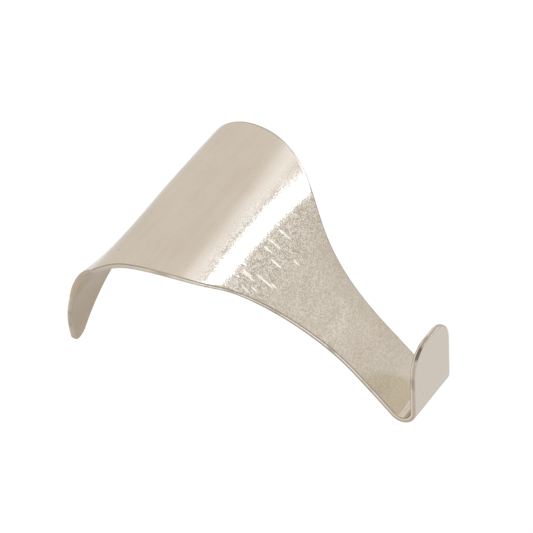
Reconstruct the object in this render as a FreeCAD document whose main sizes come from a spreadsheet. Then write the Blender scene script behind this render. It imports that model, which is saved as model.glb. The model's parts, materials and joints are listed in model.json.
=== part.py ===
import FreeCAD, Part
import math
import os
import Sketcher

# Picture rail hook: one strip of plated steel sheet, cut to a waisted outline and bent to an S.
#
# Frame, in millimetres: +Z up and +X across the hook, as it hangs. The lip is at the front, towards -Y, and
# the tongue runs down behind the rail, towards +Y. The origin is the highest point of the underside of the
# crown, midway across, where the hook bears on the top of the rail.
#
# The strip is followed from the end of the lip to the tip of the tongue. Each bend has the radius of its
# inside face and the angle that it turns through.

DIMENSIONS = {
    "sheet_thickness": 0.9,
    "crown_width": 40.0,
    "lip_width": 11.8,
    # Side view, from the lip to the tongue.
    "lip_length": 11.2,
    "lip_slope": 42.0,
    "bend_radius": 1.6,
    "bend_turn": 134.0,
    "lower_shank_radius": 172.0,
    "lower_shank_turn": 5.2,
    "upper_shank_radius": 117.0,
    "upper_shank_turn": 7.4,
    "crown_front_radius": 17.2,
    "crown_front_turn": 51.8,
    "crown_top_radius": 8.8,
    "crown_top_turn": 52.6,
    "saddle_length": 15.0,
    "tongue_radius": 44.5,
    "tongue_turn": 28.6,
    # Front view, where the strip flares from the lip's width to the crown's.
    "lip_corner_radius": 4.4,
    "flare_foot_drop": 38.0,
    "flare_radius": 38.0,
    "widest_rise": 0.2,
    # Top view, where the outline narrows behind its widest place.
    "widest_lead": 2.0,
    "shoulder_radius": 7.0,
    "shoulder_turn": 39.5,
    "hollow_radius": 26.0,
    "hollow_turn": 25.5,
    "flank_radius": 17.0,
    "flank_turn": 17.0,
    "tip_radius": 2.2,
}

# The lengths of the strip in order: +1 bends to the left of the way along it, -1 to the right, 0 is flat.
STRIP = [
    ("lip", 0),
    ("bend", 1),
    ("lower_shank", -1),
    ("upper_shank", 1),
    ("crown_front", -1),
    ("crown_top", -1),
    ("saddle", 0),
    ("tongue", -1),
]

# How far the cutting outlines reach past the metal that they take away.
MARGIN = 4.0

# The numbers that Sketcher gives to an edge's centre, the origin and the vertical axis.
CENTRE = 3
ORIGIN = (-1, 1)
VERTICAL_AXIS = -2

NODE = "hook_plate"


def make_sheet(doc):
    """The spreadsheet of driving dimensions, one named cell each."""
    sheet = doc.addObject("Spreadsheet::Sheet", "Dimensions")
    for row, (name, value) in enumerate(DIMENSIONS.items(), start=1):
        sheet.set(f"A{row}", name)
        sheet.set(f"B{row}", str(value))
        sheet.setAlias(f"B{row}", name)
    doc.recompute()
    return sheet


def ahead(point, heading, distance):
    """The place that lies a distance from a point along a heading, in radians."""
    return (point[0] + distance * math.cos(heading), point[1] + distance * math.sin(heading))


class Edge:
    """One straight or round length of an outline, with where it starts, ends and heads."""

    def __init__(self, start, heading, side, size, turn=0.0):
        """A flat has side 0 and its length as size; a bend turns to side, +1 or -1, at a radius of size."""
        self.start, self.side, self.size = start, side, size
        if side == 0:
            self.end, self.heading_out = ahead(start, heading, size), heading
        else:
            to_centre = heading + side * math.pi / 2
            self.centre = ahead(start, to_centre, size)
            self.angles = sorted((to_centre + math.pi, to_centre + math.pi + side * turn))
            self.end = ahead(self.centre, to_centre + math.pi + side * turn, size)
            self.heading_out = heading + side * turn

    def draw(self, sketch):
        """Adds the edge to a sketch and notes its number and which of its ends comes first."""
        if self.side == 0:
            shape = Part.LineSegment(FreeCAD.Vector(*self.start), FreeCAD.Vector(*self.end))
        else:
            circle = Part.Circle(FreeCAD.Vector(*self.centre), FreeCAD.Vector(0, 0, 1), self.size)
            shape = Part.ArcOfCircle(circle, *self.angles)
        self.number = sketch.addGeometry(shape, False)
        self.first, self.last = (2, 1) if self.side < 0 else (1, 2)
        return self


def line_to(start, end):
    """A straight edge between two places."""
    run = (end[0] - start[0], end[1] - start[1])
    return Edge(start, math.atan2(run[1], run[0]), 0, math.hypot(*run))


def follow(start, heading, steps):
    """Edges laid smoothly end to end: each step is a side, a length or radius, and a turn in radians."""
    edges = []
    for side, size, turn in steps:
        edges.append(Edge(start, heading, side, size, turn))
        start, heading = edges[-1].end, edges[-1].heading_out
    return edges


def make_sketch(body, name, plane):
    """An empty sketch on one of the body's own origin planes."""
    sketch = body.newObject("Sketcher::SketchObject", name)
    support = [feature for feature in body.Origin.OriginFeatures if feature.Role == plane][0]
    sketch.AttachmentSupport = [(support, "")]
    sketch.MapMode = "FlatFace"
    return sketch


def constrain(sketch, kind, *arguments):
    """A constraint of shape only."""
    sketch.addConstraint(Sketcher.Constraint(kind, *arguments))


def drive(sketch, name, expression, kind, *arguments):
    """A constraint whose value follows the spreadsheet."""
    index = sketch.addConstraint(Sketcher.Constraint(kind, *arguments))
    sketch.renameConstraint(index, name)
    sketch.setExpression(f"Constraints.{name}", expression)


def join(sketch, edges, kind="Tangent"):
    """Joins each edge's end to the next one's start: Tangent runs on smoothly, Coincident makes corners."""
    for edge, following in zip(edges, edges[1:]):
        constrain(sketch, kind, edge.number, edge.last, following.number, following.first)


def strip_face(sheet, start, offset):
    """The edges of one face of the strip, offset to the left of the middle of the sheet."""
    heading = -math.radians(sheet.get("lip_slope"))
    steps = []
    for name, side in STRIP:
        if side == 0:
            steps.append((0, sheet.get(f"{name}_length"), 0.0))
        else:
            radius = sheet.get(f"{name}_radius") + sheet.get("sheet_thickness") / 2 - side * offset
            steps.append((side, radius, math.radians(sheet.get(f"{name}_turn"))))
    return follow(ahead(start, heading + math.pi / 2, offset), heading, steps)


def side_view(body, sheet):
    """The strip from the side: its two faces, closed at the lip's end and at the tongue's end."""
    sketch = make_sketch(body, "SideView", "YZ_Plane")
    half = sheet.get("sheet_thickness") / 2
    crown_top = [name for name, side in STRIP].index("crown_top")
    loose = strip_face(sheet, (0.0, 0.0), -half)[crown_top].centre
    start = (-loose[0], -sheet.get("crown_top_radius") - loose[1])
    left = [edge.draw(sketch) for edge in strip_face(sheet, start, half)]
    right = [edge.draw(sketch) for edge in strip_face(sheet, start, -half)]
    lip_end = line_to(right[0].start, left[0].start).draw(sketch)
    tongue_end = line_to(left[-1].end, right[-1].end).draw(sketch)
    join(sketch, left)
    join(sketch, right)
    constrain(sketch, "Coincident", lip_end.number, 1, right[0].number, right[0].first)
    constrain(sketch, "Coincident", lip_end.number, 2, left[0].number, left[0].first)
    constrain(sketch, "Coincident", tongue_end.number, 1, left[-1].number, left[-1].last)
    constrain(sketch, "Coincident", tongue_end.number, 2, right[-1].number, right[-1].last)
    size_strip(sketch, sheet, left, right)
    place_strip(sketch, sheet, left, right, lip_end, tongue_end, right[crown_top])
    return sketch


def size_strip(sketch, sheet, left, right):
    """Gives each length of the strip its size, and keeps its two faces parallel."""
    for (name, side), over, under in zip(STRIP, left, right):
        if side == 0:
            constrain(sketch, "Parallel", over.number, under.number)
            drive(sketch, f"{name}_length", f"Dimensions.{name}_length", "Distance", over.number, over.size)
            continue
        inside = over if side > 0 else under
        turn = math.radians(sheet.get(f"{name}_turn"))
        constrain(sketch, "Coincident", over.number, CENTRE, under.number, CENTRE)
        drive(sketch, f"{name}_radius", f"Dimensions.{name}_radius", "Radius", inside.number, inside.size)
        drive(sketch, f"{name}_turn", f"Dimensions.{name}_turn * 1 deg", "Angle", over.number, turn)


def place_strip(sketch, sheet, left, right, lip_end, tongue_end, crown_top):
    """Squares off the two ends, tilts the lip, and sets the underside of the crown on the origin."""
    thickness = sheet.get("sheet_thickness")
    slope = math.radians(sheet.get("lip_slope"))
    radius = sheet.get("crown_top_radius")
    constrain(sketch, "Perpendicular", lip_end.number, left[0].number)
    drive(sketch, "thickness", "Dimensions.sheet_thickness", "Distance", lip_end.number, thickness)
    constrain(sketch, "PointOnObject", left[-1].number, CENTRE, tongue_end.number)
    drive(sketch, "lip_slope", "-Dimensions.lip_slope * 1 deg", "Angle", left[0].number, -slope)
    constrain(sketch, "PointOnObject", crown_top.number, CENTRE, VERTICAL_AXIS)
    seat = ("DistanceY", crown_top.number, CENTRE, *ORIGIN, radius)
    drive(sketch, "seat", "Dimensions.crown_top_radius", *seat)


def front_view(body, sheet):
    """The waste beside the lip and shank on the +X side: straight, then hollow, then full to the crown."""
    sketch = make_sketch(body, "FrontWaste", "XZ_Plane")
    lip, crown = sheet.get("lip_width") / 2, sheet.get("crown_width") / 2
    foot, rise = -sheet.get("flare_foot_drop"), sheet.get("widest_rise")
    hollow = sheet.get("flare_radius")
    across, up = crown - lip, rise - foot
    span = (up * up + across * across) / (2 * across)
    turn = math.asin(up / span)
    floor = foot - lip - MARGIN - sheet.get("lip_length")
    side = [line_to((lip, floor), (lip, foot))]
    side += follow((lip, foot), math.pi / 2, [(-1, hollow, turn), (1, span - hollow, turn)])
    corners = [(crown, rise), (crown + MARGIN, rise), (crown + MARGIN, floor), (lip, floor)]
    frame = [line_to(*ends) for ends in zip(corners, corners[1:])]
    for edge in side + frame:
        edge.draw(sketch)
    join(sketch, side)
    join(sketch, [side[-1]] + frame + [side[0]], "Coincident")
    straight, concave, convex = side
    constrain(sketch, "Vertical", straight.number)
    constrain(sketch, "Horizontal", convex.number, CENTRE, convex.number, convex.last)
    for edge, kind in zip(frame, ("Horizontal", "Vertical", "Horizontal")):
        constrain(sketch, kind, edge.number)
    drive(sketch, "flare", "Dimensions.flare_radius", "Radius", concave.number, hollow)
    at_foot = (straight.number, straight.last)
    at_top = (convex.number, convex.last)
    drive(sketch, "lip_half", "Dimensions.lip_width / 2", "DistanceX", *ORIGIN, *at_foot, lip)
    drive(sketch, "foot_drop", "Dimensions.flare_foot_drop", "DistanceY", *at_foot, *ORIGIN, -foot)
    drive(sketch, "crown_half", "Dimensions.crown_width / 2", "DistanceX", *ORIGIN, *at_top, crown)
    drive(sketch, "rise", "Dimensions.widest_rise", "DistanceY", *ORIGIN, *at_top, rise)
    constrain(sketch, "Distance", frame[0].number, MARGIN)
    constrain(sketch, "Distance", straight.number, foot - floor)
    return sketch


def top_view(body, sheet):
    """The waste beside the tongue on the +X side: full, hollow, full again, straight and round the tip."""
    sketch = make_sketch(body, "TopWaste", "XY_Plane")
    crown, lead = sheet.get("crown_width") / 2, sheet.get("widest_lead")
    names = [("shoulder", 1), ("hollow", -1), ("flank", 1)]
    turns = [math.radians(sheet.get(f"{name}_turn")) for name, side in names]
    radii = [sheet.get(f"{name}_radius") for name, side in names]
    curves = [(side, radius, turn) for (name, side), radius, turn in zip(names, radii, turns)]
    outline = follow((crown, -lead), math.pi / 2, curves)
    # The straight flank stops where the round tip, centred across the hook, takes over from it.
    slope = outline[-1].heading_out - math.pi / 2
    tip = sheet.get("tip_radius")
    flat = (outline[-1].end[0] - tip * math.cos(slope)) / math.sin(slope)
    last = [(0, flat, 0.0), (1, tip, math.pi / 2 - slope)]
    outline += follow(outline[-1].end, outline[-1].heading_out, last)
    top = outline[-1].end[1]
    far, out = top + MARGIN, crown + MARGIN
    corners = [(0.0, top), (-tip, top), (-tip, far), (out, far), (out, -lead), (crown, -lead)]
    frame = [line_to(*ends) for ends in zip(corners, corners[1:])]
    for edge in outline + frame:
        edge.draw(sketch)
    join(sketch, outline)
    join(sketch, [outline[-1]] + frame + [outline[0]], "Coincident")
    for edge, kind in zip(frame, ("Horizontal", "Vertical", "Horizontal", "Vertical", "Horizontal")):
        constrain(sketch, kind, edge.number)
    shoulder, tip_arc = outline[0], outline[-1]
    constrain(sketch, "Horizontal", shoulder.number, CENTRE, shoulder.number, shoulder.first)
    constrain(sketch, "PointOnObject", tip_arc.number, CENTRE, VERTICAL_AXIS)
    constrain(sketch, "PointOnObject", tip_arc.number, tip_arc.last, VERTICAL_AXIS)
    for (name, side), edge, radius, turn in zip(names, outline, radii, turns):
        drive(sketch, f"{name}_radius", f"Dimensions.{name}_radius", "Radius", edge.number, radius)
        drive(sketch, f"{name}_turn", f"Dimensions.{name}_turn * 1 deg", "Angle", edge.number, turn)
    drive(sketch, "tip_radius", "Dimensions.tip_radius", "Radius", tip_arc.number, tip)
    at_widest = (shoulder.number, shoulder.first)
    drive(sketch, "crown_half", "Dimensions.crown_width / 2", "DistanceX", *ORIGIN, *at_widest, crown)
    drive(sketch, "lead", "Dimensions.widest_lead", "DistanceY", *at_widest, *ORIGIN, lead)
    drive(sketch, "tip_margin", "Dimensions.tip_radius", "Distance", frame[0].number, tip)
    constrain(sketch, "Distance", frame[1].number, MARGIN)
    constrain(sketch, "Distance", frame[-1].number, MARGIN)
    return sketch


def cut(body, name, profile, side_type):
    """A pocket right through the strip, on one side of its sketch or on both."""
    pocket = body.newObject("PartDesign::Pocket", name)
    pocket.Profile = (profile, [""])
    pocket.Type = "ThroughAll"
    pocket.SideType = side_type
    return pocket


def check_cut(doc, feature, before):
    """Recomputes, and refuses a cut that has taken nothing away."""
    doc.recompute()
    if feature.Shape.Volume >= before.Shape.Volume - 1.0:
        raise RuntimeError(f"{feature.Name} cuts nothing")


def corner_edges(shape, sheet):
    """The names of the two short edges across the sheet at the free corners of the lip."""
    half_width = sheet.get("lip_width") / 2
    slope = math.radians(sheet.get("lip_slope"))
    across_sheet = FreeCAD.Vector(0, math.sin(slope), math.cos(slope))
    ends = []
    for number, edge in enumerate(shape.Edges, start=1):
        points = [vertex.Point for vertex in edge.Vertexes]
        on_side = all(abs(abs(point.x) - half_width) < 1e-3 for point in points)
        short = edge.Length < sheet.get("sheet_thickness") + 1e-3
        if len(points) == 2 and on_side and short:
            along = (points[1] - points[0]).normalize()
            if abs(along.dot(across_sheet)) > 1 - 1e-6:
                ends.append((min(point.y for point in points), f"Edge{number}"))
    front = min(ends)[0]
    return [name for y, name in ends if abs(y - front) < 1e-3]


def make_plate(doc, sheet):
    """The whole hook: the side view drawn out to the crown's width, with its outline cut away."""
    body = doc.addObject("PartDesign::Body", NODE)
    body.Label = NODE
    pad = body.newObject("PartDesign::Pad", "Strip")
    pad.Profile = (side_view(body, sheet), [""])
    pad.SideType = "Symmetric"
    pad.setExpression("Length", "Dimensions.crown_width")
    doc.recompute()

    front = cut(body, "FrontCut", front_view(body, sheet), "One side")
    front.Reversed = True
    check_cut(doc, front, pad)
    rear = cut(body, "RearCut", top_view(body, sheet), "Symmetric")
    check_cut(doc, rear, front)

    mirror = body.newObject("PartDesign::Mirrored", "OtherSide")
    mirror.Originals = [front, rear]
    plane = [feature for feature in body.Origin.OriginFeatures if feature.Role == "YZ_Plane"][0]
    mirror.MirrorPlane = (plane, [""])
    body.Tip = mirror
    check_cut(doc, mirror, rear)

    corners = body.newObject("PartDesign::Fillet", "LipCorners")
    corners.Base = (mirror, corner_edges(mirror.Shape, sheet))
    corners.setExpression("Radius", "Dimensions.lip_corner_radius")
    body.Tip = corners
    doc.recompute()
    body.Placement = FreeCAD.Placement()
    return body


def check(doc, bodies):
    """Raises unless every object is sound, every sketch is fully fixed, and each body is one solid."""
    for thing in doc.Objects:
        if {"Invalid", "Error"} & set(thing.State):
            raise RuntimeError(f"{thing.Name}: {thing.State}")
        if thing.TypeId == "Sketcher::SketchObject" and not thing.FullyConstrained:
            raise RuntimeError(f"{thing.Name} is free to move")
    for body in bodies:
        if body.Shape.isNull() or not body.Shape.isValid() or len(body.Shape.Solids) != 1:
            raise RuntimeError(f"{body.Label} is not one valid solid")


def main():
    doc = FreeCAD.newDocument("PictureRailHook")
    sheet = make_sheet(doc)
    bodies = [make_plate(doc, sheet)]
    doc.recompute()
    check(doc, bodies)
    os.makedirs("parts", exist_ok=True)
    for body in bodies:
        body.Shape.exportStep(f"parts/{body.Label}.step")
        box = body.Shape.BoundBox
        print(body.Label, round(body.Shape.Volume, 1), "mm3", box)


main()
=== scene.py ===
import json
import math

import bpy
from mathutils import Matrix, Vector, noise


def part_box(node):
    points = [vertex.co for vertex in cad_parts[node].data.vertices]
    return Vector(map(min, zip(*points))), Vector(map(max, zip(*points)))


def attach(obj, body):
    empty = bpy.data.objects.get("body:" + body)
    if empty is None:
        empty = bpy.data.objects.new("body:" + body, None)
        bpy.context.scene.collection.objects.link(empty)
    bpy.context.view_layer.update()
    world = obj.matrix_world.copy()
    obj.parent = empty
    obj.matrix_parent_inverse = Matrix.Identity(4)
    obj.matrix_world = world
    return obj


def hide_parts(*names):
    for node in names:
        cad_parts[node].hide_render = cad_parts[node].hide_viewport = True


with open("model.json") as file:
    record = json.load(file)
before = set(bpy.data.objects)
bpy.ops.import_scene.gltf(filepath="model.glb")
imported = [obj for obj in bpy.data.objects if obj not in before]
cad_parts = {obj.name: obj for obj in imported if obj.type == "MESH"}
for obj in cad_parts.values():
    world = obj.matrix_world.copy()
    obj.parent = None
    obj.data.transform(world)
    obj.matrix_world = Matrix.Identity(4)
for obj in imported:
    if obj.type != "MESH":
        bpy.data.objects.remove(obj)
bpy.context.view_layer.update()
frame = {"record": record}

# A picture rail hook of nickel-plated steel sheet, in metres, as it hangs: +Z up, the lip towards -Y, the
# tongue towards +Y. The strip is followed from the end of the lip to the tip of the tongue, and "along"
# is the length of the sheet from the lip's end. The front face is the inside of the lip, the front of the
# shank and the top of the crown and tongue. The back face is the other one.

MM = 0.001
QUARTER = math.pi / 2
mounts = {mount["name"]: mount for mount in frame["record"]["mounts"]}
cad_low, cad_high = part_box("hook_plate")

SHEET = 0.9 * MM
HALF = SHEET / 2
CROWN_HALF = (cad_high[0] - cad_low[0]) / 2
LIP_HALF = mounts["wire_seat"]["dims"]["length_mm"] / 2 * MM
BEND_INSIDE = mounts["wire_seat"]["dims"]["r_mm"] * MM
LIP_SLOPE = math.radians(42)
LIP_CORNER = 4.4 * MM

# The middle of the sheet in side view: a name, the side that it turns to, its radius or length, its turn.
STRIP = [
    ("lip", 0, 11.2 * MM, 0),
    ("bend", 1, BEND_INSIDE + HALF, 134),
    ("lower_shank", -1, 172 * MM + HALF, 5.2),
    ("upper_shank", 1, 117 * MM + HALF, 7.4),
    ("crown_front", -1, 17.2 * MM + HALF, 51.8),
    ("crown_top", -1, 8.8 * MM + HALF, 52.6),
    ("saddle", 0, 15.0 * MM, 0),
    ("tongue", -1, 44.5 * MM + HALF, 28.6),
]
CROWN_TOP_CENTRE = (0.0, -8.8 * MM)
SEARCH_STEPS = 50

# The flare in front view, and the outline behind the widest place in top view: the side that each curve
# turns to, its radius and its turn.
FLARE_FOOT = -38.0 * MM
FLARE_RADIUS = 38.0 * MM
WIDEST_HEIGHT = 0.2 * MM
WIDEST_Y = -2.0 * MM
REAR_CURVES = [(1, 7.0 * MM, 39.5), (-1, 26.0 * MM, 25.5), (1, 17.0 * MM, 17.0)]
TIP_RADIUS = 2.2 * MM

# The mesh. EDGE_CROWDING draws the columns closer together at the edges.
ROW = 0.3 * MM
COLUMNS = 56
EDGE_CROWDING = 0.35
EDGE_ROUND = 0.24 * MM
ROUND_STEPS = 5
CORNER_STEPS = 14
# The tongue's root stands a little proud on the -X side and low on the +X side, from the bending.
SET = 2.97 * MM
SET_PLACE = 80.67 * MM
SET_SPREAD = 7.12 * MM
# The sheet isn't perfectly even: shallow waves, about a hundredth of a millimetre high.
WAVE_HEIGHT = 0.022 * MM
WAVE_ACROSS = 11.0 * MM
WAVE_ALONG = 7.0 * MM
WAVE_START = 3.7
# The front of the crown is twisted a little, from 8 mm on the -X side of the middle to the +X edge.
TWIST = -2.9
TWIST_SIDE = 8.0 * MM
TWIST_REACH = 16.0 * MM
TWIST_PLACE = 48.8 * MM
TWIST_SPREAD = 5.4 * MM

# The plating's colours, which the metal reflects with. Among them are colours of painted shade, painted
# highlights and sheen, and partly painted glints.
NICKEL_LIGHT = (0.625, 0.548, 0.458, 1)
NICKEL_DARK = (0.59, 0.508, 0.415, 1)
# Colours of painted shade, and the lighter shade at the tongue's tip:
SHADED_COLOUR = (0.525, 0.455, 0.368, 1)
DEEPEST_SHADE_COLOUR = (0.51, 0.405, 0.3, 1)
TIP_SHADE_COLOUR = (0.555, 0.458, 0.357, 1)
SHADE_COLOUR = (0.36, 0.29, 0.2, 1)
# A painted highlight for the inside of the lip:
PAINTED_SHEEN_COLOUR = (0.89, 0.87, 0.78, 1)
LIP_COLOUR = (0.625, 0.557, 0.49, 1)
# Dark for the cut band and for painted shade, and a painted highlight, on the sheared edge:
CUT_AND_SHADE_DARK = (0.31, 0.25, 0.18, 1)
EDGE_HIGHLIGHT_COLOUR = (0.9, 0.86, 0.79, 1)
# Colours of the grain's specks, the light one partly a painted glint:
PIT_DARK = (0.335, 0.283, 0.225, 1)
GLINT_SPECK_COLOUR = (0.83, 0.762, 0.668, 1)
STAIN_COLOUR = (0.16, 0.115, 0.08, 1)
SCRATCH_COLOUR = (0.93, 0.89, 0.8, 1)
EDGE_TINT = (0.84, 0.82, 0.79, 1)

# The tables give a value at a length along the strip, in mm. The mesh carries each value at its points.
# The values are the finish and painted shading.
FINISH_AND_SHADING = ("wall", "rim", "level", "lip_sheen", "grain_and_glints", "burnish_highlight", "cut", "painted_shade", "matt", "shade")
# "level" is 1 on the front face, 0 in the middle of the sheet and -1 on the back face. Above FRONT_LEVEL a
# point counts as front face.
FRONT_LEVEL = 0.9
# This table paints a sheen on the lip: 1 inside the lip, where a painted highlight makes it bright, and -1
# on the lip's other face, which gets a colour of its own. The rounded edge between the two takes only a
# share of the front's painted highlight.
LIP_SHEEN = [(0, 1.0), (12.0, 1.0), (14.5, 0.0)]
EDGE_SHEEN = 0.3
EDGE_SHEEN_LEVEL = 0.99
# This table is how coarse the surface is and how strongly its specks are painted, and the light specks
# are partly painted glints: little at the foot, most at the top of the shank, and next to none on the
# crown. The table's places come sooner away from GRAIN_MIDDLE, by GRAIN_BOW at CROWN_HALF from it.
GRAIN_AND_GLINTS = [
    (0, 0.04), (15, 0.05), (19, 0.17), (36, 0.38), (40, 0.45), (44, 0.68), (46.5, 0.9), (48.8, 0.9),
    (50.2, 0.45), (51.3, 0.45), (52.4, 0.8), (53.4, 0.3), (54.8, 0.03),
]
GRAIN_BOW = 1.9 * MM
GRAIN_MIDDLE = -3.0 * MM
# The first table is how strong the painted highlight on the sheared edge's burnished middle band is, and
# the second how dark the cut band behind it is.
BURNISH_HIGHLIGHT = [(0, 0.3), (8, 0.15), (14, 0.15), (20, 0.75), (50, 0.85), (56, 0.5), (64, 0.2), (70, 0.0)]
CUT = [(0, 0.55), (8, 0.45), (14, 0.55), (20, 0.65), (44, 0.75), (54, 0.0), (66, 0.0), (73, 0.3)]
# Painted shade: from the nickel's own colour at 0 to a shaded one at 1, a deeper shade at 2 and the tip's
# lighter shade at 3. It darkens the front of the shank, most low down, and the back face, most under the
# crown and tongue.
PAINTED_SHADE_FRONT = [(0, 0.0), (18, 0.05), (20, 0.8), (26, 1.2), (34, 0.95), (40, 0.6), (47, 0.2), (52, 0.0)]
PAINTED_SHADE_BACK = [(0, 0.0), (16, 0.5), (60, 0.9), (71, 1.0), (78, 2.0), (86, 2.0), (104, 3.0)]
# "matt" is roughness added at the foot of the shank and on the underside of the crown and tongue.
MATT_FRONT = [(15, 0.0), (20, 0.8), (22, 0.8), (25, 0.0)]
MATT_BACK = [(60, 0.0), (66, 2.0), (86, 2.0), (104, 2.5)]
MATT_ROUGHNESS = 0.04
# "shade" makes the front of the shank darker and smoother towards its +X edge, from SHADE_START on, where
# the middle is 0 and the edge is 1. It takes a share of the grain away and gives a share of its colour.
FAR_SHADE = [(17, 0.0), (24, 0.4), (32, 0.9), (40, 0.8), (46, 0.55), (51, 0.2), (53, 0.0)]
SHADE_START = 0.3
SHADE_SMOOTHS = 0.3
SHADE_SHARE = 0.3

# The grain's bumps and specks. A scale is a texture's number of features in a metre.
GRAIN_SCALE = 4200.0
GRAIN_DETAIL = 1.5
GRAIN_ROUGH = 0.55
COARSE_SCALE = 0.4 * GRAIN_SCALE
COARSE_SHARE = 0.5
GRAIN_DEPTH = 0.013 * MM
SPECK_FINE = 0.75
SPECK_COARSE = 0.25
SPECK_LIMITS = (0.36, 0.64)
SPECK_SHARE = 0.85
# Rolling streaks across the sheet, clouds, worn patches, and how rough the plating is.
STREAK_SCALES = (90.0, 900.0, 900.0)
STREAK_SHARE = 0.45
STREAK_DEPTH = 0.35
CLOUD_SCALE = 130.0
CLOUD_SHARE = 0.55
TONE_LIMITS = (0.35, 0.65)
WORN_SCALE = 260.0
WORN_LIMITS = (0.5, 0.68)
ROUGH_SCALE = 420.0
ROUGH_LIMITS = (0.3, 0.7)
ROUGHNESS = (0.13, 0.18)
WORN_ROUGHNESS = 0.12
# The sheared edge's bands, by level: where each one starts and where it ends.
# The dark line is painted shade, and the bright band a painted highlight.
LINE_BAND = (0.58, 0.68, 0.95, 0.99)
LINE_SHARE = 0.75
BRIGHT_BAND = (-0.05, 0.2, 0.48, 0.62)
BRIGHT_WORN = 0.55
CUT_BAND = (-0.99, -0.9, -0.05, 0.2)
STAIN_SHARE = 0.35
# A dark line of painted shade on the front face's own rim, on the +X side only.
SHADE_LINE_RIM = (0.55, 0.95)
SHADE_LINE_LEVEL = (0.9, 0.98)
SHADE_LINE_SIDE = (2.0 * MM, 6.0 * MM)
SHADE_LINE_SHARE = 0.7
# Flecks, and the nick in the edge at the lip's end. A fleck's size is a share of its cell, and only the
# cells with a random draw from 0 to 1 above FLECK_DRAW have one. The scratches have SCRATCH_DRAW.
FLECK_SCALE = 330.0
FLECK_SIZE = (0.04, 0.09)
FLECK_DRAW = 0.82
FLECK_SHARE = 0.45
NICK_ACROSS = -3.95 * MM
NICK_PLACE = 0.82 * MM
NICK_SIZE = 1.6 * MM
NICK_BAND = (-0.99, -0.9, 0.0, 0.4)
NICK_SHARE = 0.95
# The scratches below the crown: the middle and half size of their region, and the size of the cells that
# hold at most one each. The width and length of a scratch are shares of its cell, from its middle out.
SCRATCH_REGION_X = (-4.5 * MM, 7.5 * MM)
SCRATCH_REGION_Z = (-16.2 * MM, 4.0 * MM)
SCRATCH_CELL = (1.4 * MM, 5.5 * MM)
SCRATCH_FADE_X = 1.25
SCRATCH_FADE_Z = 1.3
SCRATCH_SLANT = -0.2
SCRATCH_SPREAD = 0.9
SCRATCH_WIDTH = (0.08, 0.2)
SCRATCH_LENGTH = (0.14, 0.34)
SCRATCH_TAPER = 0.12
SCRATCH_DRAW = 0.5
SCRATCH_BRIGHTNESS = (0.8, 1.0)
SCRATCH_SHARE = 0.9
SCRATCH_DEPTH = 0.6

# The studio. The hook hangs above the floor, and directions are from the hook. FOOT and TOP are the
# heights between which a lamp comes on and goes off, as the upward part of a direction.
FLOOR_GAP = 0.1
FLOOR_HALF = 4.0
FLOOR_COLOUR = (0.9, 0.9, 0.9, 1)
FLOOR_ROUGHNESS = 0.8
FLOOR_GLOW = 0.07
WHITE = (1, 1, 1, 1)
BLACK = (0, 0, 0, 1)
ROOM = 1.0
LAMP_COLOUR = (0.82, 0.97, 1.2, 1)
KEY_SIDE = (0.69, -0.72, 0.08)
KEY_SPREAD = (0.72, 0.9)
KEY_FOOT = (-0.005, 0.03)
KEY_TOP = (0.137, 0.201)
KEY_STRENGTH = 2.9
GLOW_FOOT = (0.225, 0.265)
GLOW_TOP = (0.27, 0.5)
GLOW_STRENGTH = 0.52
FILL_SIDE = (-0.689, -0.712, 0.134)
FILL_SPREAD = (0.8, 0.95)
FILL_STRENGTH = 0.7
CARD_MIDDLE = (0.29, 0.295)
CARD_ABOVE_FLOOR = 0.002
CARD_HALF = 0.2
CARD_COLOUR = (1, 0.975, 0.905, 1)
CARD_GLOW = 0.68

# The camera looks at AIM from DISTANCE.
AIM = Vector((-0.00171, -0.00945, -0.01749))
AZIMUTH = math.radians(-44.08)
ELEVATION = math.radians(7.68)
ROLL = math.radians(42.85)
DISTANCE = 2.015
LENS = 882.8
SENSOR = 36
NEAR = 0.1
FAR = 20


class Strip:
    """The middle of the sheet in side view, as functions of the length along it."""

    def __init__(self):
        loose = self.lay((0.0, 0.0))
        centre = loose["crown_top"]["centre"]
        start = (CROWN_TOP_CENTRE[0] - centre[0], CROWN_TOP_CENTRE[1] - centre[1])
        laid = self.lay(start)
        self.crown_top = laid["crown_top"]
        self.parts = list(laid.values())
        self.length = sum(part["length"] for part in self.parts)

    def lay(self, start):
        """The parts of the strip by name, laid one after the other from a starting point."""
        heading, along, parts = -LIP_SLOPE, 0.0, {}
        point = start
        for name, side, size, degrees in STRIP:
            turn = math.radians(degrees)
            part = {"side": side, "start": point, "heading": heading, "along": along}
            if side == 0:
                part["length"] = size
            else:
                part["length"] = size * turn
                part["radius"] = size
                part["centre"] = ahead(point, heading + side * QUARTER, size)
            point, heading = self.at_part(part, part["length"])
            along += part["length"]
            parts[name] = part
        return parts

    def at_part(self, part, distance):
        """The place and heading at a distance into one part of the strip."""
        if part["side"] == 0:
            return ahead(part["start"], part["heading"], distance), part["heading"]
        heading = part["heading"] + part["side"] * distance / part["radius"]
        out = heading - part["side"] * QUARTER
        return ahead(part["centre"], out, part["radius"]), heading

    def at(self, along):
        """The place and heading at a length along the whole strip."""
        for part in self.parts:
            if along <= part["along"] + part["length"] or part is self.parts[-1]:
                return self.at_part(part, along - part["along"])

    def along_at_y(self, y, low, high):
        """The length along the strip where it reaches a depth y, between two lengths where y grows."""
        for step in range(SEARCH_STEPS):
            middle = (low + high) / 2
            if self.at(middle)[0][0] < y:
                low = middle
            else:
                high = middle
        return (low + high) / 2


def ahead(point, heading, distance):
    """The point that lies at a distance from another one, in the direction of a heading."""
    return (point[0] + distance * math.cos(heading), point[1] + distance * math.sin(heading))


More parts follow.
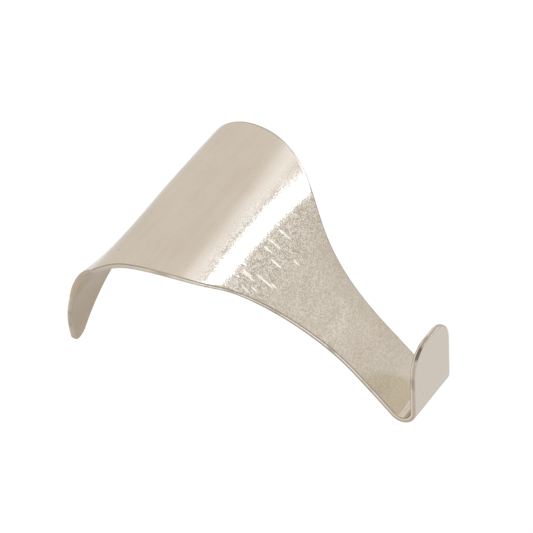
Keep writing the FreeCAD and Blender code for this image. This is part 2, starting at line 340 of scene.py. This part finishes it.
def flare_half_width(z):
    """Half the width in front view at a height z, from the lip up to the widest place."""
    across, up = CROWN_HALF - LIP_HALF, WIDEST_HEIGHT - FLARE_FOOT
    span = (up * up + across * across) / (2 * across)
    full = span - FLARE_RADIUS
    change = FLARE_FOOT + up * FLARE_RADIUS / span
    if z <= FLARE_FOOT:
        return LIP_HALF
    if z <= change:
        return LIP_HALF + FLARE_RADIUS - math.sqrt(FLARE_RADIUS**2 - (z - FLARE_FOOT) ** 2)
    if z <= WIDEST_HEIGHT:
        return CROWN_HALF - full + math.sqrt(full**2 - (z - WIDEST_HEIGHT) ** 2)
    return CROWN_HALF


def rear_outline():
    """Points of half width and depth in top view, from the widest place to the tip of the tongue."""
    points = []
    point, heading = (CROWN_HALF, WIDEST_Y), QUARTER
    for side, radius, degrees in REAR_CURVES:
        turn = math.radians(degrees)
        centre = ahead(point, heading + side * QUARTER, radius)
        steps = max(3, round(radius * turn / ROW))
        for step in range(steps):
            out = heading + side * (turn * step / steps - QUARTER)
            points.append(ahead(centre, out, radius))
        heading += side * turn
        point = ahead(centre, heading - side * QUARTER, radius)
    return points + tongue_tip(point, heading)


def tongue_tip(point, heading):
    """The tongue's straight side, and its rounded tip up to the middle."""
    slope = heading - QUARTER
    flat = (point[0] - TIP_RADIUS * math.cos(slope)) / math.sin(slope)
    steps = round(flat / ROW)
    points = [ahead(point, heading, flat * step / steps) for step in range(steps)]
    centre_y = ahead(point, heading, flat)[1] - TIP_RADIUS * math.sin(slope)
    for step in range(CORNER_STEPS):
        angle = slope + (QUARTER - slope) * step / CORNER_STEPS
        points.append((TIP_RADIUS * math.cos(angle), centre_y + TIP_RADIUS * math.sin(angle)))
    return points


def outline(strip):
    """Half the flat blank's outline: places of half width and length along, from the lip to the tip."""
    points = []
    for step in range(CORNER_STEPS):
        angle = QUARTER * (1 - step / CORNER_STEPS)
        half = LIP_HALF - LIP_CORNER + LIP_CORNER * math.cos(angle)
        points.append((half, LIP_CORNER - LIP_CORNER * math.sin(angle)))
    crown = strip.crown_top
    widest = strip.along_at_y(WIDEST_Y, crown["along"], crown["along"] + crown["length"])
    steps = round((widest - LIP_CORNER) / ROW)
    for step in range(steps):
        along = LIP_CORNER + (widest - LIP_CORNER) * step / steps
        points.append((flare_half_width(strip.at(along)[0][1]), along))
    for half, y in rear_outline():
        points.append((half, strip.along_at_y(y, widest - ROW, strip.length)))
    return points


def outward(points):
    """The outline's outward directions, in the flat blank."""
    normals = []
    for number in range(len(points)):
        before = points[max(0, number - 1)]
        after = points[min(len(points) - 1, number + 1)]
        run = Vector((after[0] - before[0], after[1] - before[1])).normalized()
        normals.append(Vector((run.y, -run.x)))
    normals[0] = Vector((0, -1))
    normals[-1] = Vector((0, 1))
    return normals


def place(strip, x, along, height):
    """A point of the bent plate: across it, along it and above the middle of the sheet."""
    (y, z), heading = strip.at(along)
    spread = math.exp(-(((along - SET_PLACE) / SET_SPREAD) ** 2))
    height -= SET * spread * x * abs(x) / CROWN_HALF**2
    past = along - TWIST_PLACE
    twist = TWIST * max(0.0, x + TWIST_SIDE) ** 2 / TWIST_REACH
    height += twist * past * math.exp(-((past / TWIST_SPREAD) ** 2))
    height += WAVE_HEIGHT * noise.noise(Vector((x / WAVE_ACROSS, along / WAVE_ALONG, WAVE_START)))
    return Vector((x, y - math.sin(heading) * height, z + math.cos(heading) * height))


def between(table, along):
    """A value from a short table of lengths in mm and values, straight between its rows."""
    place_mm = along / MM
    for (low, first), (high, second) in zip(table, table[1:]):
        if place_mm <= high:
            share = max(0.0, (place_mm - low) / (high - low))
            return first + (second - first) * share
    return table[-1][1]


def column_share(column):
    """Where a column lies from -1 to 1, closer together at the edges."""
    even = 2 * column / COLUMNS - 1
    return math.sin(even * QUARTER) * EDGE_CROWDING + even * (1 - EDGE_CROWDING)


class Shell:
    """The mesh of the plate: two faces of rows and columns, joined round the edge by a rounded wall."""

    def __init__(self, strip):
        self.strip = strip
        self.points = outline(strip)
        self.normals = outward(self.points)
        self.ring = self.way_round()
        self.verts = []
        self.faces = []
        self.values = {name: [] for name in FINISH_AND_SHADING}

    def way_round(self):
        """The rows and columns along the lip's end, up the +X side, across the tip, and down the -X side."""
        last = len(self.points) - 1
        ring = [(0, column) for column in range(COLUMNS)]
        ring += [(row, COLUMNS) for row in range(last)]
        ring += [(last, column) for column in range(COLUMNS, 0, -1)]
        ring += [(row, 0) for row in range(last, 0, -1)]
        return ring

    def add(self, half, column, along, height, wall=0.0, rim=1.0):
        """A point of the mesh with the values of its finish and painted shading."""
        x = half * column_share(column)
        level = height / HALF
        in_front = level > FRONT_LEVEL
        shade = between(FAR_SHADE, along) * max(0.0, column_share(column) - SHADE_START) / (1 - SHADE_START)
        edge_sheen = EDGE_SHEEN if 0 < level < EDGE_SHEEN_LEVEL else 1
        bow = GRAIN_BOW * ((x - GRAIN_MIDDLE) / CROWN_HALF) ** 2
        finish_and_shading = {
            "wall": wall,
            "rim": rim,
            "level": level,
            "lip_sheen": level * between(LIP_SHEEN, along) * edge_sheen,
            "grain_and_glints": between(GRAIN_AND_GLINTS, along + bow) * (1 - SHADE_SMOOTHS * shade),
            "burnish_highlight": between(BURNISH_HIGHLIGHT, along),
            "cut": between(CUT, along),
            "painted_shade": between(PAINTED_SHADE_FRONT if in_front else PAINTED_SHADE_BACK, along),
            "matt": between(MATT_FRONT if in_front else MATT_BACK, along),
            "shade": shade if level > 0 else 0.0,
        }
        for name, value in finish_and_shading.items():
            self.values[name].append(value)
        self.verts.append(place(self.strip, x, along, height))
        return len(self.verts) - 1

    def face_grid(self, height):
        """The points of one face, set in from the outline by the rounding of the edge."""
        grid = []
        for (half, along), normal in zip(self.points, self.normals):
            inner_half = half - EDGE_ROUND * normal.x
            inner_along = along - EDGE_ROUND * normal.y
            row = []
            for column in range(COLUMNS + 1):
                rim = 1.0 if column in (0, COLUMNS) else 0.0
                row.append(self.add(inner_half, column, inner_along, height, rim=rim))
            grid.append(row)
        return grid

    def edge_loop(self, angle, side):
        """The points of one line round the rounded edge, at an angle from its middle to a face."""
        inset = EDGE_ROUND * (1 - math.cos(angle))
        height = side * (HALF - EDGE_ROUND + EDGE_ROUND * math.sin(angle))
        wall = math.cos(angle) ** 2
        loop = []
        for row, column in self.ring:
            (half, along), normal = self.points[row], self.normals[row]
            loop.append(self.add(half - inset * normal.x, column, along - inset * normal.y, height, wall))
        return loop

    def build(self):
        """Lay both faces and the edge between them."""
        front, back = self.face_grid(HALF), self.face_grid(-HALF)
        angles = [QUARTER * step / ROUND_STEPS for step in range(ROUND_STEPS)]
        loops = [[front[row][column] for row, column in self.ring]]
        loops += [self.edge_loop(angle, 1) for angle in reversed(angles)]
        loops += [self.edge_loop(angle, -1) for angle in angles]
        loops.append([back[row][column] for row, column in self.ring])
        for row in range(len(self.points) - 1):
            for column in range(COLUMNS):
                corners = [(row, column), (row, column + 1), (row + 1, column + 1), (row + 1, column)]
                self.faces.append([front[down][across] for down, across in corners])
                turned = [corners[0]] + corners[:0:-1]
                self.faces.append([back[down][across] for down, across in turned])
        for loop, below in zip(loops, loops[1:]):
            for number in range(len(loop)):
                after = (number + 1) % len(loop)
                self.faces.append((loop[number], below[number], below[after], loop[after]))


def make_plate(strip):
    """The plate as an object, with the values of its finish and painted shading at its points."""
    shell = Shell(strip)
    shell.build()
    mesh = bpy.data.meshes.new("hook")
    mesh.from_pydata(shell.verts, [], shell.faces)
    mesh.validate()
    mesh.polygons.foreach_set("use_smooth", [True] * len(mesh.polygons))
    for name, numbers in shell.values.items():
        mesh.attributes.new(name, "FLOAT", "POINT").data.foreach_set("value", numbers)
    mesh.update()
    piece = bpy.data.objects.new("hook", mesh)
    bpy.context.collection.objects.link(piece)
    return piece


class Nodes:
    """A short way to write a node tree."""

    def __init__(self, tree):
        self.tree = tree

    def new(self, kind, inputs=None, **settings):
        """A node, with its settings, and its inputs either linked or set."""
        node = self.tree.nodes.new(kind)
        for key, value in settings.items():
            setattr(node, key, value)
        for key, value in (inputs or {}).items():
            self.give(node.inputs[key], value)
        return node

    def give(self, socket, value):
        """Link an input to another node's output, or set it to a value."""
        if isinstance(value, bpy.types.NodeSocket):
            self.tree.links.new(value, socket)
        else:
            socket.default_value = value

    def maths(self, operation, *values):
        return self.new("ShaderNodeMath", dict(enumerate(values)), operation=operation).outputs[0]

    def plus(self, first, second):
        return self.maths("ADD", first, second)

    def minus(self, first, second):
        return self.maths("SUBTRACT", first, second)

    def times(self, first, *others):
        for other in others:
            first = self.maths("MULTIPLY", first, other)
        return first

    def vector(self, operation, first, second, output):
        node = self.new("ShaderNodeVectorMath", {0: first, 1: second}, operation=operation)
        return node.outputs[output]

    def split(self, vector):
        """The X, Y and Z of a vector, by name."""
        return self.new("ShaderNodeSeparateXYZ", {0: vector}).outputs

    def ramp(self, value, limits, start=0.0, end=1.0, kind="SMOOTHSTEP"):
        """A value between two limits turned into one from start to end, and kept between those."""
        sockets = {"Value": value, "To Min": start, "To Max": end}
        sockets["From Min"], sockets["From Max"] = limits
        return self.new("ShaderNodeMapRange", sockets, interpolation_type=kind).outputs["Result"]

    def line(self, value, limits, start=0.0, end=1.0):
        """A ramp that is straight between its limits."""
        return self.ramp(value, limits, start, end, "LINEAR")

    def band(self, value, limits):
        """1 between two soft limits, and 0 outside them."""
        return self.times(self.ramp(value, limits[:2]), self.ramp(value, limits[2:], 1.0, 0.0))

    def noise(self, where, scale, detail=1.0, rough=0.5):
        sockets = {"Vector": where, "Scale": scale, "Detail": detail, "Roughness": rough}
        return self.new("ShaderNodeTexNoise", sockets).outputs["Fac"]

    def stretch(self, where, scale):
        return self.new("ShaderNodeMapping", {"Vector": where, "Scale": scale}).outputs["Vector"]

    def blend(self, share, first, second):
        """One colour that goes over to another."""
        node = self.new("ShaderNodeMix", data_type="RGBA")
        for name, value in (("Factor", share), ("A", first), ("B", second)):
            kinds = ("RGBA", "VALUE")
            socket = next(s for s in node.inputs if s.name == name and s.type in kinds and s.enabled)
            self.give(socket, value)
        return next(s for s in node.outputs if s.type == "RGBA" and s.enabled)


def scratches(net, parts):
    """Short light scratches that run down the shank: 1 in a scratch, and 0 elsewhere."""
    slanted = net.minus(parts["X"], net.times(parts["Z"], SCRATCH_SLANT))
    cells = net.new("ShaderNodeCombineXYZ", {"X": slanted, "Y": 0.0, "Z": parts["Z"]}).outputs[0]
    cells = net.stretch(cells, (1 / SCRATCH_CELL[0], 1.0, 1 / SCRATCH_CELL[1]))
    sockets = {"Vector": cells, "Scale": 1.0, "Randomness": SCRATCH_SPREAD}
    voronoi = net.new("ShaderNodeTexVoronoi", sockets).outputs
    gap = net.split(net.vector("SUBTRACT", cells, voronoi["Position"], 0))
    draw = net.split(voronoi["Color"])
    half_length = net.line(draw["Y"], (0.0, 1.0), *SCRATCH_LENGTH)
    left_over = net.minus(half_length, net.maths("ABSOLUTE", gap["Z"]))
    thin = net.ramp(net.maths("ABSOLUTE", gap["X"]), SCRATCH_WIDTH, 1.0, 0.0)
    ends = net.ramp(left_over, (0.0, SCRATCH_TAPER))
    chosen = net.maths("GREATER_THAN", draw["X"], SCRATCH_DRAW)
    brightness = net.line(draw["Z"], (0.0, 1.0), *SCRATCH_BRIGHTNESS)
    near_x = near(net, parts["X"], SCRATCH_REGION_X, SCRATCH_FADE_X)
    near_z = near(net, parts["Z"], SCRATCH_REGION_Z, SCRATCH_FADE_Z)
    return net.times(thin, ends, chosen, brightness, net.times(near_x, near_z))


def near(net, value, region, fade):
    """1 in a region given by its middle and half size, going to 0 at a number of half sizes."""
    middle, half = region
    return net.ramp(net.maths("ABSOLUTE", net.minus(value, middle)), (half, half * fade), 1.0, 0.0)


def flecks(net, where):
    """Small round flecks in some of the cells of a grid: 1 in a fleck, and 0 elsewhere."""
    cells = net.new("ShaderNodeTexVoronoi", {"Vector": where, "Scale": FLECK_SCALE}).outputs
    chosen = net.maths("GREATER_THAN", net.split(cells["Color"])["X"], FLECK_DRAW)
    return net.times(net.ramp(cells["Distance"], FLECK_SIZE, 1.0, 0.0), chosen)


def nick(net, where, level, strip):
    """The dark nick in the sheared edge near the end of the lip: 1 in it, and 0 elsewhere."""
    y, z = strip.at(NICK_PLACE)[0]
    distance = net.vector("DISTANCE", where, (NICK_ACROSS, y, z), "Value")
    return net.times(net.ramp(distance, (NICK_SIZE / 2, NICK_SIZE), 1.0, 0.0), net.band(level, NICK_BAND))


def plate_colour(net, finish_and_shading, streaks, clouds, fine_specks, coarse):
    """The nickel's own colour, painted shade, grain specks partly painted as glints, and the lip's painted
    highlight.
    """
    tone = net.plus(net.times(streaks, STREAK_SHARE), net.times(clouds, CLOUD_SHARE))
    colour = net.blend(net.line(tone, TONE_LIMITS), NICKEL_DARK, NICKEL_LIGHT)
    # Painted shade on the front of the shank and on the back face.
    painted_shade = finish_and_shading["painted_shade"]
    colour = net.blend(net.line(painted_shade, (0.0, 1.0)), colour, SHADED_COLOUR)
    colour = net.blend(net.line(painted_shade, (1.0, 2.0)), colour, DEEPEST_SHADE_COLOUR)
    colour = net.blend(net.line(painted_shade, (2.0, 3.0)), colour, TIP_SHADE_COLOUR)
    # Grain specks, whose light ones are partly painted glints.
    mixed = net.plus(net.times(fine_specks, SPECK_FINE), net.times(coarse, SPECK_COARSE))
    specks = net.blend(net.ramp(mixed, SPECK_LIMITS), PIT_DARK, GLINT_SPECK_COLOUR)
    colour = net.blend(net.times(finish_and_shading["grain_and_glints"], SPECK_SHARE), colour, specks)
    colour = net.blend(net.times(finish_and_shading["shade"], SHADE_SHARE), colour, SHADE_COLOUR)
    # A painted highlight inside the lip, and a colour of its own on the lip's other face.
    colour = net.blend(net.line(finish_and_shading["lip_sheen"], (0.0, 1.0)), colour, PAINTED_SHEEN_COLOUR)
    return net.blend(net.line(finish_and_shading["lip_sheen"], (-1.0, 0.0), 1.0, 0.0), colour, LIP_COLOUR)


def edge_colour(net, colour, finish_and_shading, parts, worn):
    """The sheared edge: painted shade under the front face, then a painted highlight, then a dark cut band."""
    level = finish_and_shading["level"]
    # A dark line of painted shade under the front face, and one on the front face's +X rim.
    colour = net.blend(net.times(net.band(level, LINE_BAND), LINE_SHARE), colour, CUT_AND_SHADE_DARK)
    shade_line = net.times(net.ramp(finish_and_shading["rim"], SHADE_LINE_RIM), net.ramp(level, SHADE_LINE_LEVEL))
    shade_line = net.times(shade_line, net.ramp(parts["X"], SHADE_LINE_SIDE))
    colour = net.blend(net.times(shade_line, SHADE_LINE_SHARE), colour, CUT_AND_SHADE_DARK)
    # A painted highlight on the burnished band, weaker where worn.
    bright = net.times(net.band(level, BRIGHT_BAND), finish_and_shading["burnish_highlight"])
    bright = net.times(bright, net.ramp(worn, (0.0, 1.0), 1.0, BRIGHT_WORN))
    colour = net.blend(bright, colour, EDGE_HIGHLIGHT_COLOUR)
    colour = net.blend(net.times(net.band(level, CUT_BAND), finish_and_shading["cut"]), colour, CUT_AND_SHADE_DARK)
    return net.blend(net.times(finish_and_shading["wall"], worn, STAIN_SHARE), colour, STAIN_COLOUR)


def plate_roughness(net, where, finish_and_shading, marks):
    """How rough the plating is: uneven all over, and rougher in the cut, the scratches and the matt places."""
    rough = net.ramp(net.noise(where, ROUGH_SCALE, 3.0), ROUGH_LIMITS, *ROUGHNESS)
    rough = net.plus(rough, net.times(net.maths("MAXIMUM", finish_and_shading["wall"], marks), WORN_ROUGHNESS))
    return net.plus(rough, net.times(finish_and_shading["matt"], MATT_ROUGHNESS))


def make_metal(strip):
    """Bright nickel plate over steel: a fine grain, shallow streaks from rolling, wear, scratches, painted
    shade and highlights.
    """
    material = bpy.data.materials.new("nickel_plate")
    material.use_nodes = True
    net = Nodes(material.node_tree)
    where = net.new("ShaderNodeTexCoord").outputs["Object"]
    parts = net.split(where)
    finish_and_shading = {name: net.new("ShaderNodeAttribute", attribute_name=name).outputs["Fac"] for name in FINISH_AND_SHADING}

    fine = net.noise(where, GRAIN_SCALE, GRAIN_DETAIL, GRAIN_ROUGH)
    fine_specks = net.noise(where, GRAIN_SCALE)
    coarse = net.noise(where, COARSE_SCALE)
    streaks = net.noise(net.stretch(where, STREAK_SCALES), 1.0, 2.0)
    clouds = net.noise(where, CLOUD_SCALE, 3.0)
    worn = net.ramp(net.noise(where, WORN_SCALE, 2.0), WORN_LIMITS)
    marks = net.times(scratches(net, parts), net.maths("GREATER_THAN", finish_and_shading["level"], FRONT_LEVEL))

    colour = plate_colour(net, finish_and_shading, streaks, clouds, fine_specks, coarse)
    colour = edge_colour(net, colour, finish_and_shading, parts, worn)
    colour = net.blend(net.times(flecks(net, where), FLECK_SHARE), colour, STAIN_COLOUR)
    colour = net.blend(net.times(nick(net, where, finish_and_shading["level"], strip), NICK_SHARE), colour, STAIN_COLOUR)
    colour = net.blend(net.times(marks, SCRATCH_SHARE), colour, SCRATCH_COLOUR)

    grain_and_glints = net.times(net.plus(fine, net.times(coarse, COARSE_SHARE)), finish_and_shading["grain_and_glints"])
    height = net.plus(grain_and_glints, net.times(streaks, STREAK_DEPTH))
    height = net.minus(height, net.times(marks, SCRATCH_DEPTH))
    bump = net.new("ShaderNodeBump", {"Height": height, "Strength": 1.0, "Distance": GRAIN_DEPTH})

    shader = material.node_tree.nodes["Principled BSDF"]
    shader.inputs["Metallic"].default_value = 1.0
    shader.inputs["Specular Tint"].default_value = EDGE_TINT
    net.give(shader.inputs["Base Color"], colour)
    net.give(shader.inputs["Roughness"], plate_roughness(net, where, finish_and_shading, marks))
    net.give(shader.inputs["Normal"], bump.outputs["Normal"])
    return material


def make_square(name, middle, half, shader_values):
    """A level square for the stage, with a plain material of its own."""
    mesh = bpy.data.meshes.new(name)
    corners = [(-half, -half, 0), (half, -half, 0), (half, half, 0), (-half, half, 0)]
    mesh.from_pydata(corners, [], [(0, 1, 2, 3)])
    square = bpy.data.objects.new(name, mesh)
    square.location = middle
    bpy.context.collection.objects.link(square)
    material = bpy.data.materials.new(name)
    material.use_nodes = True
    shader = material.node_tree.nodes["Principled BSDF"]
    for key, value in shader_values.items():
        shader.inputs[key].default_value = value
    mesh.materials.append(material)
    return square


def make_floor():
    """The pale floor, which glows a little so that it stays as light as the room."""
    look = {
        "Base Color": FLOOR_COLOUR,
        "Roughness": FLOOR_ROUGHNESS,
        "Emission Color": WHITE,
        "Emission Strength": FLOOR_GLOW,
    }
    floor = make_square("floor", (0, 0, cad_low[2] - FLOOR_GAP), FLOOR_HALF, look)


def make_card():
    """A grey card that only the metal sees, lying flat on the floor."""
    look = {
        "Base Color": BLACK,
        "Specular IOR Level": 0.0,
        "Emission Color": CARD_COLOUR,
        "Emission Strength": CARD_GLOW,
    }
    middle = (*CARD_MIDDLE, cad_low[2] - FLOOR_GAP + CARD_ABOVE_FLOOR)
    card = make_square("card_below", middle, CARD_HALF, look)
    card.visible_camera = False
    card.visible_diffuse = False
    card.visible_shadow = False


def make_camera():
    """A long lens from the front left and a little above, rolled so that the crown leans to the left."""
    flat = math.cos(ELEVATION)
    back = Vector((math.sin(AZIMUTH) * flat, -math.cos(AZIMUTH) * flat, math.sin(ELEVATION)))
    level_up = (Vector((0, 0, 1)) - back * back.z).normalized()
    level_right = level_up.cross(back)
    up = level_up * math.cos(ROLL) + level_right * math.sin(ROLL)
    right = up.cross(back)
    data = bpy.data.cameras.new("camera")
    data.sensor_width = SENSOR
    data.lens = LENS
    data.clip_start = NEAR
    data.clip_end = FAR
    camera = bpy.data.objects.new("camera", data)
    bpy.context.collection.objects.link(camera)
    turn = Matrix((right, up, back)).transposed()
    camera.matrix_world = Matrix.Translation(AIM + back * DISTANCE) @ turn.to_4x4()
    bpy.context.scene.camera = camera


def make_world():
    """A white room with a low softbox to the front right, a weaker glow above it, and a fill to the left."""
    world = bpy.data.worlds.new("studio")
    bpy.context.scene.world = world
    world.use_nodes = True
    net = Nodes(world.node_tree)
    way = net.new("ShaderNodeTexCoord").outputs["Generated"]
    rise = net.split(way)["Z"]
    towards_key = net.vector("DOT_PRODUCT", way, KEY_SIDE, "Value")
    towards_fill = net.vector("DOT_PRODUCT", way, FILL_SIDE, "Value")
    key = net.times(net.band(rise, KEY_FOOT + KEY_TOP), KEY_STRENGTH)
    glow = net.times(net.band(rise, GLOW_FOOT + GLOW_TOP), GLOW_STRENGTH)
    lamps = net.times(net.plus(key, glow), net.ramp(towards_key, KEY_SPREAD))
    lamps = net.plus(lamps, net.times(net.ramp(towards_fill, FILL_SPREAD), FILL_STRENGTH))
    background = world.node_tree.nodes["Background"]
    background.inputs["Color"].default_value = WHITE
    background.inputs["Strength"].default_value = ROOM
    boxes = net.new("ShaderNodeBackground", {"Color": LAMP_COLOUR, "Strength": lamps})
    both = net.new("ShaderNodeAddShader", {0: background.outputs[0], 1: boxes.outputs[0]})
    net.give(world.node_tree.nodes["World Output"].inputs["Surface"], both.outputs[0])


strip = Strip()
hook = make_plate(strip)
hook.data.materials.append(make_metal(strip))
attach(hook, "root")
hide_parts("hook_plate")
make_floor()
make_card()
make_camera()
make_world()
bpy.context.scene.view_settings.view_transform = "Standard"
